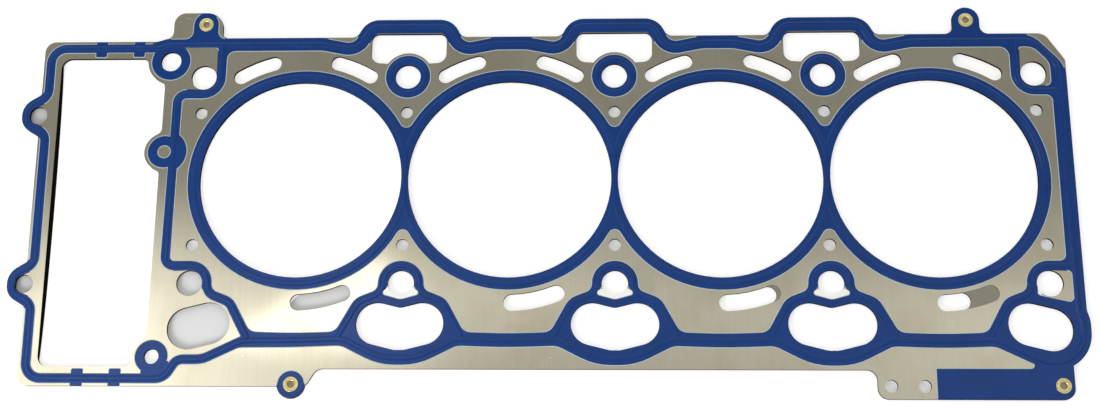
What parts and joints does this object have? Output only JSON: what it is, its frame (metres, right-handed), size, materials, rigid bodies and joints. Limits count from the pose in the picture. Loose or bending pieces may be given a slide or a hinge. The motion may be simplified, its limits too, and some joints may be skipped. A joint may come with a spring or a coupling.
{
  "type": "cylinder head gasket",
  "caption": "Flat multi-layer steel head gasket with round cylinder openings, ports and bolt holes, and a blue printed seal along every edge that has to seal.",
  "frame": {"origin": "axis of the cylinder opening next to the timing chest, at the middle of the stack", "axes": "+X along the bank, away from the timing chest; +Y across the bank towards the edge with the three lobes; +Z out of the face shown in the picture"},
  "size_m": [0.4949, 0.1868, 0.0024],
  "materials": {
    "bead_sheet_steel": "rolled spring steel with a fine grain",
    "carrier_steel": "rolled, bare at its cut edges",
    "stopper_steel": "smooth rolled foil",
    "blue_seal_print": "smooth printed coat with a soft sheen",
    "eyelet_brass": "drawn and flared"
  },
  "bodies": {
    "root": {"carrier_sheet": "carrier_steel", "upper_bead_sheet": "bead_sheet_steel", "lower_bead_sheet": "bead_sheet_steel", "stopper_ring_1": "stopper_steel", "stopper_ring_2": "stopper_steel", "stopper_ring_3": "stopper_steel", "stopper_ring_4": "stopper_steel", "upper_perimeter_seal_print": "blue_seal_print", "upper_bore_seal_print": "blue_seal_print", "upper_eyelet_pad_print": "blue_seal_print", "upper_bolt_ring_print_1": "blue_seal_print", "upper_bolt_ring_print_2": "blue_seal_print", "upper_bolt_ring_print_3": "blue_seal_print", "lower_perimeter_seal_print": "blue_seal_print", "lower_bore_seal_print": "blue_seal_print", "lower_eyelet_pad_print": "blue_seal_print", "lower_bolt_ring_print_1": "blue_seal_print", "lower_bolt_ring_print_2": "blue_seal_print", "lower_bolt_ring_print_3": "blue_seal_print", "upper_left_eyelet": "eyelet_brass", "upper_right_eyelet": "eyelet_brass", "lower_left_eyelet": "eyelet_brass", "lower_right_eyelet": "eyelet_brass"}
  },
  "joints": []
}
